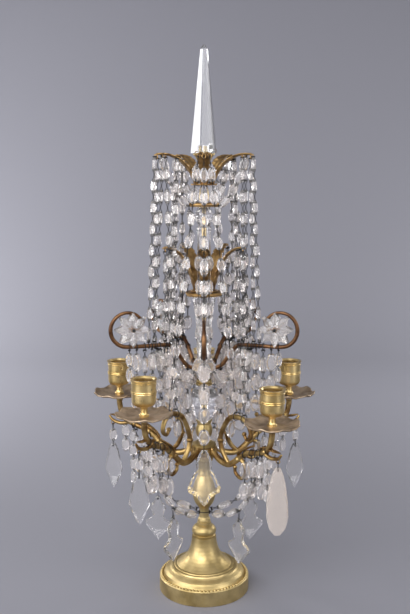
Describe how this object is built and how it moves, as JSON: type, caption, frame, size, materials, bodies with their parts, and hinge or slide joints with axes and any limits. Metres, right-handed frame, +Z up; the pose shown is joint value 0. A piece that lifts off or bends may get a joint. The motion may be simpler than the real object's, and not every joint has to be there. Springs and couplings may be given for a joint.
{
  "type": "girandole candle holder",
  "caption": "Table girandole: brass foot and stem, scrolled candle arms with pans and cups, curled rosette arms, leaf crowns and strings of cut-glass beads and pendants under a glass spire.",
  "frame": {"origin": "centre of the foot's flat lower rim, on the stem's axis", "axes": "+Z up along the stem, -Y towards the front"},
  "size_m": [0.2858, 0.2783, 0.681],
  "materials": {
    "brass": "aged satin brass",
    "dull_brass": "tarnished brass sheet",
    "copper_brown": "brown patina",
    "glass": "clear cut glass",
    "dark_steel": "darkened iron wire"
  },
  "bodies": {
    "stand": {"foot": "brass", "rod_fasteners": "dark_steel", "tie_rod": "dark_steel", "neck_collar": "brass", "stem_baluster": "brass", "arm_hub": "brass", "hub_knob": "brass", "glass_knop": "glass", "stem_collar": "brass", "glass_vase": "glass", "rosette_hub": "brass", "glass_column": "glass", "lower_dish": "brass", "lower_leaves": "brass", "glass_tube": "glass", "dish_knop": "glass", "upper_dish": "brass", "glass_bowl": "glass", "upper_leaves": "brass", "glass_ball": "glass", "spire_cap": "brass", "spire": "glass", "candle_arm_1": "brass", "candle_arm_2": "brass", "candle_arm_3": "brass", "candle_arm_4": "brass", "candle_arm_5": "brass", "drip_pan_1": "dull_brass", "drip_pan_2": "dull_brass", "drip_pan_3": "dull_brass", "drip_pan_4": "dull_brass", "drip_pan_5": "dull_brass", "candle_cup_1": "brass", "candle_cup_2": "brass", "candle_cup_3": "brass", "candle_cup_4": "brass", "candle_cup_5": "brass", "rosette_arm_1": "copper_brown", "rosette_arm_2": "copper_brown", "rosette_arm_3": "copper_brown", "rosette_arm_4": "copper_brown", "rosette_arm_5": "copper_brown", "rosettes": "glass", "rosette_pins": "dark_steel", "curtain_beads": "glass", "inner_beads": "glass", "drop_ovals": "glass", "basket_ovals": "glass", "wire_links": "dark_steel"},
    "arm_pendant_1_body": {"arm_pendant_1": "glass"},
    "arm_pendant_2_body": {"arm_pendant_2": "glass"},
    "arm_pendant_3_body": {"arm_pendant_3": "glass"},
    "arm_pendant_4_body": {"arm_pendant_4": "glass"},
    "arm_pendant_5_body": {"arm_pendant_5": "glass"},
    "basket_pendant_1_body": {"basket_pendant_1": "glass"},
    "basket_pendant_2_body": {"basket_pendant_2": "glass"},
    "basket_pendant_3_body": {"basket_pendant_3": "glass"},
    "basket_pendant_4_body": {"basket_pendant_4": "glass"},
    "basket_pendant_5_body": {"basket_pendant_5": "glass"},
    "front_pendant_body": {"front_pendant": "glass"}
  },
  "joints": [
    {"name": "arm_pendant_1_swing", "type": "hinge", "parent": "stand", "child": "arm_pendant_1_body", "pos_m": [0.0858, -0.09363, 0.1882], "axis": [0.0436, -0.999, 0], "range_deg": [-20, 20]},
    {"name": "arm_pendant_2_swing", "type": "hinge", "parent": "stand", "child": "arm_pendant_2_body", "pos_m": [-0.07465, -0.10275, 0.1829], "axis": [0, -1, 0], "range_deg": [-20, 20]},
    {"name": "arm_pendant_3_swing", "type": "hinge", "parent": "stand", "child": "arm_pendant_3_body", "pos_m": [-0.11972, 0.04239, 0.17515], "axis": [-0.3338, -0.9426, 0], "range_deg": [-20, 20]},
    {"name": "arm_pendant_4_swing", "type": "hinge", "parent": "stand", "child": "arm_pendant_4_body", "pos_m": [0, 0.127, 0.17515], "axis": [0, 1, 0], "range_deg": [-20, 20]},
    {"name": "arm_pendant_5_swing", "type": "hinge", "parent": "stand", "child": "arm_pendant_5_body", "pos_m": [0.12008, 0.04135, 0.17515], "axis": [0.3256, -0.9455, 0], "range_deg": [-20, 20]},
    {"name": "basket_pendant_1_swing", "type": "hinge", "parent": "stand", "child": "basket_pendant_1_body", "pos_m": [0.04283, -0.04674, 0.10711], "axis": [0.7373, 0.6756, 0], "range_deg": [-15, 15]},
    {"name": "basket_pendant_2_swing", "type": "hinge", "parent": "stand", "child": "basket_pendant_2_body", "pos_m": [-0.03773, -0.05193, 0.11247], "axis": [0.809, -0.5878, 0], "range_deg": [-15, 15]},
    {"name": "basket_pendant_3_swing", "type": "hinge", "parent": "stand", "child": "basket_pendant_3_body", "pos_m": [-0.06016, 0.02131, 0.10978], "axis": [-0.3338, -0.9426, 0], "range_deg": [-15, 15]},
    {"name": "basket_pendant_4_swing", "type": "hinge", "parent": "stand", "child": "basket_pendant_4_body", "pos_m": [0, 0.06383, 0.10978], "axis": [-1, 0, 0], "range_deg": [-15, 15]},
    {"name": "basket_pendant_5_swing", "type": "hinge", "parent": "stand", "child": "basket_pendant_5_body", "pos_m": [0.06035, 0.02078, 0.10978], "axis": [-0.3256, 0.9455, 0], "range_deg": [-15, 15]},
    {"name": "front_pendant_swing", "type": "hinge", "parent": "stand", "child": "front_pendant_body", "pos_m": [0, -0.057, 0.1974], "axis": [0, -1, 0], "range_deg": [-6, 6]}
  ]
}
